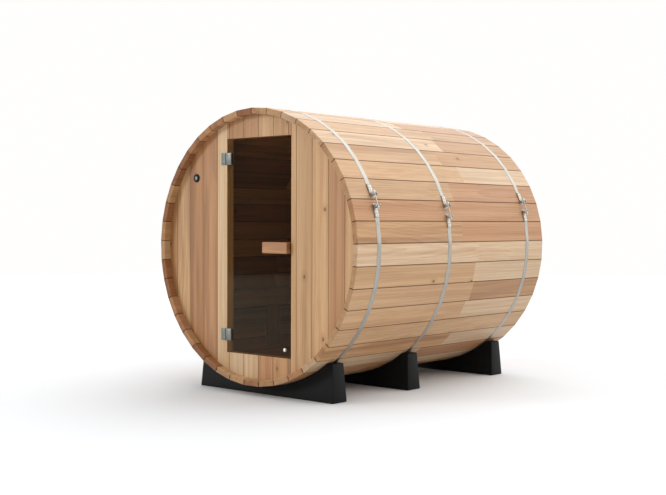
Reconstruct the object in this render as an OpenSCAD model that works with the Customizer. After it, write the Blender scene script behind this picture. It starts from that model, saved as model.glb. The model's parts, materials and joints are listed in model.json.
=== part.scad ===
/* [Barrel] */
// Outside diameter over the stave corners
barrel_d = 1830; // [1500:10:2300]
// Length of the staves
barrel_len = 2134; // [1700:1:3000]
// Number of staves round the barrel
stave_count = 41; // [33:2:57]
// Thickness of a stave
stave_t = 38; // [28:1:50]
// Gap between two staves at the joint
stave_gap = 0.3; // [0.2:0.1:0.6]
// Depth of the groove that holds an end wall
groove_depth = 10; // [6:1:14]
// Height of the barrel's lowest point above the ground
ground_clear = 65; // [50:1:100]

/* [End walls] */
// Distance of each end wall behind the stave ends
wall_setback = 55; // [40:1:90]
// Thickness of an end wall
wall_t = 38; // [28:1:45]

/* [Doorway] */
// Width of the doorway
door_w = 598; // [490:1:720]
// Height of the sill above the barrel's lowest point
sill_rise = 200; // [160:1:260]
// Depth of the door head below the barrel's highest point
head_drop = 190; // [150:1:260]
// Distance of the doorway's middle from the barrel's middle
door_x = 10; // [-20:1:20]
// Width of the casing boards beside the doorway
casing_w = 70; // [50:1:90]
// Height of the casing boards over and under the doorway
casing_h = 60; // [40:1:70]
// Thickness of the casing boards
casing_t = 24; // [18:1:30]

/* [Door] */
// Thickness of the glass
glass_t = 8; // [6:1:10]
// Gap between the glass and the doorway at each side
glass_side_gap = 5.5; // [5:0.5:8]
// Gap between the glass and the doorway at top and bottom
glass_end_gap = 6; // [5:0.5:10]
// Length of a handle block
handle_len = 222; // [160:1:300]
// Height of a handle block
handle_h = 73; // [50:1:90]
// Thickness of a handle block
handle_t = 36; // [25:1:45]
// Chamfer on the corners of a handle block
handle_ease = 4; // [1:1:8]
// Height of the handle's middle above the sill
handle_rise = 714; // [600:1:900]
// Distance from the handle to the free edge of the glass
handle_inset = 1; // [0:1:60]
// Radius of the catch buttons
catch_r = 11; // [8:1:15]
// Thickness of a catch button
catch_t = 4; // [3:1:8]
// Radius of the catch stud
catch_stud_r = 5; // [3:0.5:7]
// Height of the catch above the sill
catch_rise = 53; // [35:1:120]
// Distance from the catch to the free edge of the glass
catch_inset = 50; // [30:1:90]

/* [Hinges] */
// Height of a hinge
hinge_h = 80; // [60:1:100]
// Width of the leaf on the wall, from the pin
hinge_leaf_w = 38; // [30:1:50]
// Width of the plates on the glass, from the pin
hinge_plate_w = 56; // [50:1:70]
// Thickness of the hinge plates
hinge_t = 6; // [5:0.5:8]
// Radius of the hinge knuckles
knuckle_r = 6; // [5.5:0.5:6]
// Radius of the hinge pin
pin_r = 3; // [2.5:0.5:4]
// Distance from the pin to the side of the doorway
pin_inset = 12; // [10:1:16]
// Length of the notch in the glass at a hinge
notch_len = 22; // [16:1:28]
// Height of the notch in the glass at a hinge
notch_h = 44; // [30:1:50]
// Height of the lower hinge's middle above the sill
hinge_rise = 120; // [80:1:200]
// Depth of the upper hinge's middle below the door head
hinge_drop = 134; // [80:1:200]

/* [Bands] */
// Distance of the front band's middle from the front stave ends
band_front_y = 207; // [120:1:400]
// Distance of the middle band towards the front from mid-length
band_middle_y = 113; // [-200:1:200]
// Distance of the rear band's middle from the rear stave ends
band_rear_y = 215; // [120:1:400]
// Width of a band
band_w = 38; // [20:1:45]
// Thickness of a band
band_t = 1.2; // [0.8:0.1:2.5]

/* [Tensioners] */
// Angle above the horizontal of the middle of the front tensioner
tension_front_a = 19.2; // [10:0.1:60]
// Angle above the horizontal of the middle of the middle tensioner
tension_middle_a = 15.2; // [10:0.1:60]
// Angle above the horizontal of the middle of the rear tensioner
tension_rear_a = 17.8; // [10:0.1:60]
// Angle from the middle of a tensioner to each band end
band_end_a = 1.2; // [0.8:0.1:2]
// Angle from the middle of a tensioner to each ear
ear_a = 2.1; // [1.8:0.1:4]
// Angle from the middle of a tensioner to the far end of each base plate
plate_end_a = 6.9; // [6:0.1:10]
// Thickness of a base plate
plate_t = 4; // [3:0.5:6]
// Height of an ear over its base plate
ear_h = 32; // [28:1:38]
// Thickness of an ear
ear_t = 11; // [8:1:16]
// Height of the rod's middle over the base plates at the ears
rod_h = 19; // [15:1:21]
// Radius of the threaded rod
rod_r = 4; // [3:0.5:6]
// Radius of a nut over its corners
nut_r = 9; // [7:0.5:12]
// Thickness of a nut
nut_t = 8; // [6:0.5:12]
// Length of rod beyond each nut
rod_end = 10; // [4:1:20]

/* [Cradles] */
// Distance of the front cradle's middle from the front stave ends
cradle_front_y = 183; // [100:1:400]
// Distance of the middle cradle towards the front from mid-length
cradle_middle_y = 110; // [-200:1:200]
// Distance of the rear cradle's middle from the rear stave ends
cradle_rear_y = 151; // [100:1:400]
// Width of a cradle at the ground
cradle_w = 1235; // [1000:1:1500]
// Depth of a cradle at the ground
cradle_d = 138; // [110:1:180]
// Height of a cradle at its ends
cradle_h = 250; // [200:1:320]
// Slope of the cradle's faces over its height
cradle_draft = 16; // [5:1:25]

/* [Benches] */
// Height of the bench tops above the ground
bench_z = 650; // [540:1:780]
// Distance of the bench fronts from the barrel's middle
bench_x = 450; // [370:1:540]
// Number of seat slats
slat_count = 3; // [2:1:4]
// Thickness of a seat slat
slat_t = 38; // [28:1:45]
// Gap between two slats
slat_gap = 10; // [6:1:15]
// Height of the bench fascia
fascia_h = 100; // [80:1:140]
// Thickness of the bench fascia
fascia_t = 25; // [18:1:38]
// Width of a bench post
post_w = 115; // [80:1:140]
// Thickness of a bench post
post_t = 38; // [28:1:45]
// Distance of the bench posts from mid-length
post_y = 357; // [250:1:450]
// Height of the bearers under the slats
bearer_h = 60; // [45:1:90]
// Thickness of the bearers under the slats
bearer_t = 38; // [28:1:45]

/* [Wall port] */
// Radius of the port cap
port_r = 28.5; // [20:0.5:40]
// Radius of the dish in the port cap
dish_r = 17; // [10:0.5:18]
// Depth of the dish in the port cap
dish_depth = 4; // [2:0.5:5]
// Thickness of the port cap
port_t = 9; // [6:1:15]
// Distance of the port cap's middle from the staves
port_edge = 121; // [80:1:160]
// Angle of the port cap above the horizontal
port_a = 38.3; // [30:0.1:45]

/* [Hidden] */
$fn = 96;

// Clearance between two fixed pieces that lie against each other
fit = 0.3;
// Clearance of a pin or stud in its bore
pin_fit = 0.1;
// Clearance beside a turning knuckle
knuckle_gap = 1.5;
// Clearance between a knuckle and the wall behind it
knuckle_back = 0.5;
// What a cut runs past the piece that it cuts
over = 1;
// Longer than anything in the barrel
far = 5000;

cedar = "burlywood";
cedar_dark = "peru";
steel = "silver";
black = [0.1, 0.1, 0.1];
bronze_glass = [0.25, 0.18, 0.12, 0.6];

// Barrel: flat staves round an axis that lies axis_z above the ground
barrel_r = barrel_d / 2;
axis_z = barrel_r + ground_clear;
front_y = -barrel_len / 2;
rear_y = barrel_len / 2;
stave_a = 360 / stave_count;
apothem_out = barrel_r * cos(stave_a / 2);
apothem_in = apothem_out - stave_t;
inner_r = apothem_in / cos(stave_a / 2);

// Stave 0 is the lowest one, and the numbers rise up the right side
floor_side = 2;
side_count = (stave_count - 1) / 2 - floor_side;
function run_start(k) = floor_side + 1 + round(k * side_count / 4);
function run_count(k) = run_start(k + 1) - run_start(k);

// End walls
wall_apothem = apothem_in + groove_depth - fit;
front_wall_y = front_y + wall_setback;
rear_wall_y = rear_y - wall_setback - wall_t;
room_front_y = front_wall_y + wall_t + fit;
room_rear_y = rear_wall_y - fit;
room_len = room_rear_y - room_front_y;

// Doorway and glass
sill_z = ground_clear + sill_rise;
head_z = ground_clear + barrel_d - head_drop;
door_left = door_x - door_w / 2;
door_right = door_x + door_w / 2;
glass_left = door_left + glass_side_gap;
glass_right = door_right - glass_side_gap;
glass_low = sill_z + glass_end_gap;
glass_high = head_z - glass_end_gap;
catch_x = glass_right - catch_inset;
catch_z = sill_z + catch_rise;

// Hinges: the pin stands in front of the wall
pin_x = door_left - pin_inset;
pin_y = front_wall_y - knuckle_r - knuckle_back;
leaf_y = front_wall_y - hinge_t;
hinge_low_z = sill_z + hinge_rise;
hinge_high_z = head_z - hinge_drop;
knuckle_h = hinge_h / 3;

// Bands and cradles, as places along the barrel
band_y = [front_y + band_front_y, -band_middle_y, rear_y - band_rear_y];
cradle_y = [front_y + cradle_front_y, -cradle_middle_y, rear_y - cradle_rear_y];
tension_a = [tension_front_a, tension_middle_a, tension_rear_a];
band_r0 = barrel_r + fit;
band_r1 = band_r0 + band_t;
plate_r0 = band_r1 + fit;
plate_r1 = plate_r0 + plate_t;

// Benches
slat_z = bench_z - slat_t;
bearer_z = slat_z - bearer_h;
slat_x = bench_x + fascia_t;
staves_at_slats = sqrt(pow(apothem_in, 2) - pow(axis_z - slat_z, 2));
slat_w = (staves_at_slats - fit - slat_x - (slat_count - 1) * slat_gap) / slat_count;

// Extrudes a section drawn in X and Z from one place along Y to another
module along_y(y0, y1) {
    translate([0, y1, 0]) rotate([90, 0, 0]) linear_extrude(y1 - y0) children();
}

// Stands a round shape, drawn with its axis along Z, round the barrel's axis
module round_barrel(y) {
    translate([0, y, axis_z]) rotate([90, 0, 0]) children();
}

// Regular section of the barrel with the given apothem
module barrel_section(apothem) {
    r = apothem / cos(stave_a / 2);
    polygon([for (i = [0 : stave_count - 1])
        [r * sin((i + 0.5) * stave_a), axis_z - r * cos((i + 0.5) * stave_a)]]);
}

// Keeps what lies inside the room
module in_room() {
    intersection() {
        children();
        along_y(room_front_y, room_rear_y) barrel_section(apothem_in - fit);
    }
}

// Puts a piece of the right side on the left side, for side -1
module on_side(side) {
    if (side < 0) mirror([1, 0, 0]) children();
    else children();
}

// One stave, with a groove across its inner face for each end wall
module stave(i) {
    w_out = 2 * apothem_out * tan(stave_a / 2) - stave_gap;
    w_in = 2 * apothem_in * tan(stave_a / 2) - stave_gap;
    translate([0, 0, axis_z]) rotate([0, -i * stave_a, 0]) difference() {
        along_y(front_y, rear_y) polygon([
            [-w_out / 2, -apothem_out], [w_out / 2, -apothem_out],
            [w_in / 2, -apothem_in], [-w_in / 2, -apothem_in]
        ]);
        for (y = [front_wall_y, rear_wall_y])
            translate([-w_out, y - fit, -apothem_in - groove_depth])
                cube([2 * w_out, wall_t + 2 * fit, groove_depth + over]);
    }
}

module staves(first, count) {
    color(cedar) for (i = [first : first + count - 1]) stave(i);
}

// Run k of the staves up one side, from 0 beside the floor to 3 at the top
module side_staves(side, k) {
    staves(side > 0 ? run_start(k) : -run_start(k) - run_count(k) + 1, run_count(k));
}

module staves_floor() { staves(-floor_side, 2 * floor_side + 1); }
module staves_lower_left() { side_staves(-1, 0); }
module staves_lower_right() { side_staves(1, 0); }
module staves_left() { side_staves(-1, 1); }
module staves_right() { side_staves(1, 1); }
module staves_upper_left() { side_staves(-1, 2); }
module staves_upper_right() { side_staves(1, 2); }
module staves_roof_left() { side_staves(-1, 3); }
module staves_roof_right() { side_staves(1, 3); }

// Part of the front wall, cut from the disc that fits the grooves
module front_wall(x0, x1, z0, z1) {
    color(cedar) along_y(front_wall_y, front_wall_y + wall_t) intersection() {
        barrel_section(wall_apothem);
        translate([x0, z0]) square([x1 - x0, z1 - z0]);
    }
}
module front_wall_left() { front_wall(-far, door_left, 0, far); }
module front_wall_right() { front_wall(door_right, far, 0, far); }
module front_wall_head() { front_wall(door_left, door_right, head_z, far); }
module front_wall_sill() { front_wall(door_left, door_right, 0, sill_z); }

module rear_wall() {
    color(cedar) along_y(rear_wall_y, rear_wall_y + wall_t) barrel_section(wall_apothem);
}

// Casing board on the inside of the front wall
module casing(x0, x1, z0, z1) {
    color(cedar) translate([x0, front_wall_y + wall_t, z0])
        cube([x1 - x0, casing_t, z1 - z0]);
}
module door_casing_left() { casing(door_left - casing_w, door_left, sill_z, head_z); }
module door_casing_right() { casing(door_right, door_right + casing_w, sill_z, head_z); }
module door_casing_head() { casing(door_left, door_right, head_z, head_z + casing_h); }
module door_casing_sill() { casing(door_left, door_right, sill_z - casing_h, sill_z); }

// Glass leaf, notched for its hinges and bored for its catch
module door_glass() {
    color(bronze_glass) difference() {
        translate([glass_left, front_wall_y, glass_low])
            cube([glass_right - glass_left, glass_t, glass_high - glass_low]);
        for (z = [hinge_low_z, hinge_high_z])
            translate([glass_left - over, front_wall_y - over, z - notch_h / 2])
                cube([notch_len + over, glass_t + 2 * over, notch_h]);
        translate([catch_x, front_wall_y - over, catch_z]) rotate([-90, 0, 0])
            cylinder(r = catch_stud_r + pin_fit, h = glass_t + 2 * over);
    }
}

// Handle block with its front at y0, and its four ends' corners taken off
module handle(y0) {
    x0 = glass_right - handle_inset - handle_len;
    z0 = sill_z + handle_rise - handle_h / 2;
    e = handle_ease;
    color(cedar_dark) translate([x0, 0, z0]) along_y(y0, y0 + handle_t) polygon([
        [e, 0], [handle_len - e, 0], [handle_len, e], [handle_len, handle_h - e],
        [handle_len - e, handle_h], [e, handle_h], [0, handle_h - e], [0, e]
    ]);
}
module door_handle_outer() { handle(front_wall_y - handle_t); }
module door_handle_inner() { handle(front_wall_y + glass_t); }

// Two buttons on a stud through the glass
module door_catch() {
    color(steel) translate([catch_x, front_wall_y, catch_z]) rotate([-90, 0, 0]) {
        translate([0, 0, -catch_t]) cylinder(r = catch_r, h = catch_t);
        translate([0, 0, -over]) cylinder(r = catch_stud_r, h = glass_t + 2 * over);
        translate([0, 0, glass_t]) cylinder(r = catch_r, h = catch_t);
    }
}

// Leaf on the wall, with a knuckle at each end and the pin
module hinge_wall(z) {
    color(steel) translate([pin_x, 0, z - hinge_h / 2]) {
        difference() {
            union() {
                translate([-hinge_leaf_w, leaf_y, 0]) cube([hinge_leaf_w, hinge_t, hinge_h]);
                translate([0, pin_y, 0]) cylinder(r = knuckle_r, h = hinge_h);
            }
            translate([-knuckle_r - knuckle_gap, pin_y - far / 2, knuckle_h])
                cube([far, far, knuckle_h]);
        }
        translate([0, pin_y, 0]) cylinder(r = pin_r, h = hinge_h);
    }
}
module hinge_upper_wall() { hinge_wall(hinge_high_z); }
module hinge_lower_wall() { hinge_wall(hinge_low_z); }

// Two plates that grip the glass through its notch, with the middle knuckle
module hinge_door(z) {
    plate_x = pin_inset + glass_side_gap;
    plate_y = leaf_y - fit;
    knuckle_z = knuckle_h + pin_fit;
    color(steel) translate([pin_x, 0, z - hinge_h / 2]) difference() {
        union() {
            translate([knuckle_r + knuckle_gap, plate_y, 0])
                cube([hinge_plate_w - knuckle_r - knuckle_gap, hinge_t, hinge_h]);
            translate([0, plate_y, knuckle_z])
                cube([hinge_plate_w, hinge_t, knuckle_h - 2 * pin_fit]);
            translate([0, pin_y, knuckle_z])
                cylinder(r = knuckle_r, h = knuckle_h - 2 * pin_fit);
            translate([plate_x, plate_y, (hinge_h - notch_h) / 2 + fit])
                cube([notch_len - fit, 2 * hinge_t + glass_t, notch_h - 2 * fit]);
            translate([plate_x, front_wall_y + glass_t + fit, 0])
                cube([hinge_plate_w - plate_x, hinge_t, hinge_h]);
        }
        translate([0, pin_y, -over]) cylinder(r = pin_r + pin_fit, h = hinge_h + 2 * over);
    }
}
module hinge_upper_door() { hinge_door(hinge_high_z); }
module hinge_lower_door() { hinge_door(hinge_low_z); }

// Ring of rectangular section round the barrel, over part of a turn
module ring(r0, r1, w, from_a, to_a) {
    rotate([0, 0, from_a]) rotate_extrude(angle = to_a - from_a, $fn = 180)
        translate([r0, -w / 2]) square([r1 - r0, w]);
}

// Steel band k, open under its tensioner
module band(k) {
    color(steel) round_barrel(band_y[k])
        ring(band_r0, band_r1, band_w, tension_a[k] + band_end_a, tension_a[k] - band_end_a + 360);
}
module band_front() { band(0); }
module band_middle() { band(1); }
module band_rear() { band(2); }

// Base plate on one band end, with the ear that the rod pulls on
module lug() {
    ear_x = plate_r1 * cos(ear_a);
    ring(plate_r0, plate_r1, band_w, band_end_a, plate_end_a);
    difference() {
        translate([ear_x - plate_t / 2, plate_r1 * sin(ear_a), -band_w / 2])
            cube([ear_h + plate_t / 2, ear_t, band_w]);
        translate([ear_x + rod_h, 0, 0]) rotate([-90, 0, 0])
            cylinder(r = rod_r + pin_fit, h = far);
    }
    translate([ear_x + rod_h, plate_r1 * sin(ear_a) + ear_t, 0]) rotate([-90, 0, 0])
        cylinder(r = nut_r, h = nut_t, $fn = 6);
}

// Two lugs on band k, and the threaded rod that draws them together
module tensioner(k) {
    rod_x = plate_r1 * cos(ear_a) + rod_h;
    half_len = plate_r1 * sin(ear_a) + ear_t + nut_t + rod_end;
    color(steel) round_barrel(band_y[k]) rotate([0, 0, tension_a[k]]) {
        lug();
        mirror([0, 1, 0]) lug();
        translate([rod_x, -half_len, 0]) rotate([-90, 0, 0])
            cylinder(r = rod_r, h = 2 * half_len);
    }
}
module tensioner_front() { tensioner(0); }
module tensioner_middle() { tensioner(1); }
module tensioner_rear() { tensioner(2); }

// Section of a cradle in one direction, sloping in towards its top
module cradle_slope(w) {
    polygon([
        [-w / 2, 0], [w / 2, 0],
        [w / 2 - cradle_draft, cradle_h], [-w / 2 + cradle_draft, cradle_h]
    ]);
}

// Moulded cradle with a round saddle, recessed where the band passes
module cradle(y, passing_y) {
    color(black) difference() {
        intersection() {
            along_y(y - cradle_d, y + cradle_d) cradle_slope(cradle_w);
            translate([-cradle_w, y, 0]) rotate([90, 0, 90])
                linear_extrude(2 * cradle_w) cradle_slope(cradle_d);
        }
        round_barrel(y + cradle_d) cylinder(r = barrel_r + fit, h = 2 * cradle_d, $fn = 180);
        round_barrel(passing_y + band_w / 2 + fit)
            cylinder(r = band_r1 + fit, h = band_w + 2 * fit, $fn = 180);
    }
}
module cradle_front() { cradle(cradle_y[0], band_y[0]); }
module cradle_middle() { cradle(cradle_y[1], band_y[1]); }
module cradle_rear() { cradle(cradle_y[2], band_y[2]); }

// Round cap on the front wall, with a dished middle
module port_cap() {
    r = inner_r - port_edge;
    color(black) translate([-r * cos(port_a), front_wall_y, axis_z + r * sin(port_a)])
        rotate([90, 0, 0]) difference() {
            cylinder(r = port_r, h = port_t);
            translate([0, 0, port_t - dish_depth]) cylinder(r = dish_r, h = dish_depth + over);
        }
}

// Slats from wall to wall, between the fascia and the staves
module bench_seat(side) {
    color(cedar) on_side(side) for (k = [0 : slat_count - 1])
        translate([slat_x + k * (slat_w + slat_gap), room_front_y, slat_z])
            cube([slat_w, room_len, slat_t]);
}

module bench_fascia(side) {
    color(cedar) on_side(side) translate([bench_x, room_front_y, bench_z - fascia_h])
        cube([fascia_t, room_len, fascia_h]);
}

// Posts behind the fascia, standing on the staves
module bench_posts(side) {
    color(cedar) on_side(side) in_room() for (y = [-post_y, post_y])
        translate([slat_x, y - post_w / 2, 0]) cube([post_t, post_w, bearer_z]);
}

// Bearers under the slats, at both walls and on the posts
module bench_bearers(side) {
    color(cedar) on_side(side) in_room()
        for (y = [room_front_y, -post_y - bearer_t / 2, post_y - bearer_t / 2, room_rear_y - bearer_t])
            translate([slat_x, y, bearer_z]) cube([barrel_r, bearer_t, bearer_h]);
}

module bench_left_seat() { bench_seat(-1); }
module bench_left_fascia() { bench_fascia(-1); }
module bench_left_posts() { bench_posts(-1); }
module bench_left_bearers() { bench_bearers(-1); }
module bench_right_seat() { bench_seat(1); }
module bench_right_fascia() { bench_fascia(1); }
module bench_right_posts() { bench_posts(1); }
module bench_right_bearers() { bench_bearers(1); }

staves_floor();
staves_lower_left();
staves_lower_right();
staves_left();
staves_right();
staves_upper_left();
staves_upper_right();
staves_roof_left();
staves_roof_right();
front_wall_left();
front_wall_right();
front_wall_head();
front_wall_sill();
rear_wall();
door_casing_left();
door_casing_right();
door_casing_head();
door_casing_sill();
door_glass();
door_handle_outer();
door_handle_inner();
door_catch();
hinge_upper_wall();
hinge_lower_wall();
hinge_upper_door();
hinge_lower_door();
band_front();
band_middle();
band_rear();
tensioner_front();
tensioner_middle();
tensioner_rear();
cradle_front();
cradle_middle();
cradle_rear();
port_cap();
bench_left_seat();
bench_left_fascia();
bench_left_posts();
bench_left_bearers();
bench_right_seat();
bench_right_fascia();
bench_right_posts();
bench_right_bearers();
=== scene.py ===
import json
import math
import random

import bmesh
import bpy
import numpy as np
from bpy.props import FloatProperty, FloatVectorProperty, IntProperty, PointerProperty
from mathutils import Matrix, Vector


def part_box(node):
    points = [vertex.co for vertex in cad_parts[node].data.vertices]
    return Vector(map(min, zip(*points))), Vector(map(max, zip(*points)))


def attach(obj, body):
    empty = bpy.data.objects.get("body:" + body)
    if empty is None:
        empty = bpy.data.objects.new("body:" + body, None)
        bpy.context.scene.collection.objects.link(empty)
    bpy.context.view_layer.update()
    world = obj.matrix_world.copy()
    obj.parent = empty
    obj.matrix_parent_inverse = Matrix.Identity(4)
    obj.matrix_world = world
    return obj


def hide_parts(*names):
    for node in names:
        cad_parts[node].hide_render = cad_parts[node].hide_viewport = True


bl_info = {
    "name": "Barrel Sauna",
    "version": (1, 0, 0),
    "blender": (4, 5, 0),
    "location": "View3D > Sidebar > Sauna",
    "description": "Builds the finished surfaces of a cedar barrel sauna round its packed frame",
    "category": "Object",
}

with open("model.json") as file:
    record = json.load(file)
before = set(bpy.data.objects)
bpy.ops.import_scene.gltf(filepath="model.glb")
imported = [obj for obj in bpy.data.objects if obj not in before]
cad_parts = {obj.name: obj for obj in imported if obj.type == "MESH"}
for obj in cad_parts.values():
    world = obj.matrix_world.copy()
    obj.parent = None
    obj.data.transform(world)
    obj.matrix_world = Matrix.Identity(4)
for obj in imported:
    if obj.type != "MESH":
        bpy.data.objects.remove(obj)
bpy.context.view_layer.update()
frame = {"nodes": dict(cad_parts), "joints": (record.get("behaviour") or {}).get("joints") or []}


def linear(hex_colour):
    """Turns an sRGB hex colour into linear red, green and blue."""
    out = []
    for k in (1, 3, 5):
        c = int(hex_colour[k:k + 2], 16) / 255
        out.append(c / 12.92 if c <= 0.04045 else ((c + 0.055) / 1.055) ** 2.4)
    return tuple(out)


def colour(name, hex_colour, description):
    """A colour that a user can change, with its default given as sRGB hex."""
    return FloatVectorProperty(
        name=name, description=description, default=linear(hex_colour),
        subtype="COLOR", size=3, min=0.0, max=1.0)


def length(name, metres, description):
    """A length that a user can change."""
    return FloatProperty(name=name, description=description, default=metres, min=0.0, unit="LENGTH")


# ------------------------------------------------------------------ what a user can change

class SaunaSizes(bpy.types.PropertyGroup):
    """Sizes of the details that are finer than the frame"""
    stave_count: IntProperty(
        name="Staves", description="Number of staves round the barrel", default=41, min=3)
    stave_t: length("Stave thickness", 0.038, "Thickness of a stave")
    stave_gap: length("Stave gap", 0.0003, "Gap between two staves")
    stave_ease: length("Stave edge", 0.0026, "Rounding on the long edges of a stave")
    groove: length("Groove", 0.010, "Depth of the groove that holds an end wall")
    bead: length("Bead", 0.005, "Height of the bead that one stave has for the cove of the next")
    butt_gap: length("Butt joint", 0.0002, "Gap where two boards of one stave meet end to end")
    short_board: length("Short board", 1.10, "Length of the front board of a spliced stave")
    long_board: length("Long board", 1.28, "The other usual length of that front board")
    spliced: FloatProperty(
        name="Spliced staves", description="Share of the staves made of two boards", default=0.7,
        min=0.0, max=1.0)
    board_cover: length("Board cover", 0.137, "Face width of an end wall board")
    strip_left: length("Left strip", 0.095, "Ripped board on the left of the doorway")
    strip_right: length("Right strip", 0.045, "Ripped board on the right of the doorway")
    board_ease: length("Board edge", 0.0021, "Rounding on the long edges of an end wall board")
    timber_ease: length("Timber edge", 0.003, "Rounding on the edges of benches and casings")
    handle_ease: length("Handle edge", 0.0045, "Rounding on the edges of a handle block")
    metal_ease: length("Metal edge", 0.0006, "Rounding on the edges of steel plates")
    plastic_ease: length("Plastic edge", 0.006, "Rounding on the edges of a moulded cradle")


class SaunaColours(bpy.types.PropertyGroup):
    """Colours of the timber, the steel, the plastic and the glass"""
    straw: colour("Straw cedar", "#D3B898", "Palest sapwood tone of the cedar")
    tan: colour("Tan cedar", "#C9A47B", "Most common tone of the cedar")
    honey: colour("Honey cedar", "#C0976B", "Golden tone of the cedar")
    rose: colour("Rose cedar", "#BC8E65", "Pinkish heartwood tone of the cedar")
    brown: colour("Brown cedar", "#AE8259", "Darkest heartwood tone of the cedar")
    # Russet stands for painted shade: only the staves on the left take it.
    russet_painted_shade: colour("Russet cedar", "#9C6B43", "Darkest tone of the cedar, on the shaded side")
    knot: colour("Knots", "#5F3B22", "Colour of a knot")
    satin: colour("Satin steel", "#8B8F8B", "Colour of the bead blasted hinges")
    steel: colour("Stainless steel", "#B1AFA9", "Colour of the brushed stainless steel")
    zinc: colour("Zinc plate", "#EFF0EF", "Colour of the zinc plated bolts and nuts")
    copper: colour("Copper", "#8C4A38", "Colour of the copper pins in the band ends")
    plastic: colour("Black plastic", "#060607", "Colour of the moulded cradles and the port cap")
    dish: colour("Grey plastic", "#5A6468", "Colour of the middle of the port cap")
    glass: colour("Bronze glass", "#F6ECD6", "What one face of the glass lets through")
    floor: colour("Floor", "#DFE1E4", "Colour of the studio floor")


class SaunaStage(bpy.types.PropertyGroup):
    """Camera and light"""
    lens: FloatProperty(
        name="Lens", description="Focal length of the camera", default=60.743, subtype="DISTANCE_CAMERA")
    camera_at: FloatVectorProperty(
        name="Camera", description="Place of the camera", default=(5.2776, -6.240, 1.1489),
        subtype="TRANSLATION", unit="LENGTH")
    camera_yaw: FloatProperty(
        name="Yaw", description="Turn of the camera from the line of the barrel",
        default=0.7227, subtype="ANGLE", unit="ROTATION")
    camera_pitch: FloatProperty(
        name="Pitch", description="Tilt of the camera below the horizontal",
        default=0.0229, subtype="ANGLE", unit="ROTATION")
    camera_roll: FloatProperty(
        name="Roll", description="Roll of the camera", default=0.0027, subtype="ANGLE", unit="ROTATION")
    key: FloatProperty(name="Key light", description="Strength of the key light", default=1.07, min=0.0)
    key_spread: FloatProperty(
        name="Key softness", description="Angle that the key light fills", default=0.3,
        subtype="ANGLE", unit="ROTATION")
    fill: FloatProperty(
        name="Fill light", description="Strength of the light on the right", default=0.12, min=0.0)
    fill_spread: FloatProperty(
        name="Fill softness", description="Angle that the fill light fills", default=0.5,
        subtype="ANGLE", unit="ROTATION")
    zenith: FloatProperty(
        name="Light from above", description="Strength of the room light overhead", default=1.0, min=0.0)
    horizon: FloatProperty(
        name="Light from the sides", description="Strength of the room light at eye level",
        default=0.36, min=0.0)
    sky: FloatProperty(
        name="Light from behind", description="Strength of the wide light above and behind", default=2.5,
        min=0.0)
    sky_spread: FloatProperty(
        name="Width of light from behind", description="Angle that the light from behind fills",
        default=1.7, subtype="ANGLE", unit="ROTATION")


# ------------------------------------------------------------------ places read from the frame

def box(*nodes):
    """Lowest and highest corner of one or more CAD nodes."""
    corners = [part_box(n) for n in nodes]
    low = Vector([min(c[0][k] for c in corners) for k in range(3)])
    high = Vector([max(c[1][k] for c in corners) for k in range(3)])
    return low, high


class Barrel:
    """The barrel's section and ends, worked out from the boxes of its staves."""

    def __init__(self, sizes):
        low, high = box("staves_floor", "staves_roof_left", "staves_roof_right")
        self.count = sizes.stave_count
        self.step = math.tau / self.count
        squash = math.cos(self.step / 2)
        self.radius = (high.z - low.z) / (1 + squash)
        self.axis_z = high.z - self.radius
        self.outer = self.radius * squash
        self.inner = self.outer - sizes.stave_t
        self.front, self.rear = low.y, high.y
        self.floor_side = 2
        self.side_count = (self.count - 1) // 2 - self.floor_side

    def at(self, angle, radius, y):
        """Point at an angle above the horizontal on the right-hand side."""
        return Vector((radius * math.cos(angle), y, self.axis_z + radius * math.sin(angle)))

    def section(self, apothem):
        """Corners of the barrel's regular section, as points in X and Z."""
        r = apothem / math.cos(self.step / 2)
        turns = [(i + 0.5) * self.step for i in range(self.count)]
        return [(r * math.sin(a), self.axis_z - r * math.cos(a)) for a in turns]

    def stave_axes(self, i):
        """Directions out of stave i and across it. Stave 0 is the lowest one."""
        a = i * self.step
        return Vector((math.sin(a), 0, -math.cos(a))), Vector((math.cos(a), 0, math.sin(a)))

    def half_width(self, i):
        """Half width of stave i at a point of it, which shrinks towards the inside."""
        out = self.stave_axes(i)[0]
        slope = math.tan(self.step / 2)
        return lambda point: (point.x * out.x + (point.z - self.axis_z) * out.z) * slope

    def runs(self):
        """The staves of each CAD node, numbered up the right side and down the left."""
        cuts = [self.floor_side + 1 + int(k * self.side_count / 4 + 0.5) for k in range(5)]
        found = {"staves_floor": list(range(-self.floor_side, self.floor_side + 1))}
        for name, first, last in zip(("lower_", "", "upper_", "roof_"), cuts, cuts[1:]):
            found[f"staves_{name}right"] = list(range(first, last))
            found[f"staves_{name}left"] = [-i for i in range(first, last)]
        return found


# ------------------------------------------------------------------ closed shapes

def loft(rings):
    """Closed solid through rings of as many points each, with flat ends."""
    bm = bmesh.new()
    rows = [[bm.verts.new(p) for p in ring] for ring in rings]
    for a, b in zip(rows, rows[1:]):
        for k in range(len(a)):
            bm.faces.new((a[k - 1], a[k], b[k], b[k - 1]))
    bm.faces.new(rows[0])
    bm.faces.new(rows[-1])
    bmesh.ops.remove_doubles(bm, verts=bm.verts, dist=1e-6)
    bmesh.ops.recalc_face_normals(bm, faces=bm.faces)
    return bm


def eased(bm, ease, segments=2):
    """Rounds all the edges of a shape."""
    bmesh.ops.bevel(
        bm, geom=bm.edges[:], offset=ease, segments=segments, profile=0.5,
        affect="EDGES", clamp_overlap=True)
    bmesh.ops.recalc_face_normals(bm, faces=bm.faces)
    return bm


def prism(outline, sweep):
    """Solid with the given outline, swept by a vector."""
    return loft([[Vector(p) for p in outline], [Vector(p) + Vector(sweep) for p in outline]])


def slab(low, high):
    """Box between two corners."""
    outline = [(low[0], low[1], low[2]), (high[0], low[1], low[2]),
               (high[0], high[1], low[2]), (low[0], high[1], low[2])]
    return prism(outline, (0, 0, high[2] - low[2]))


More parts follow.
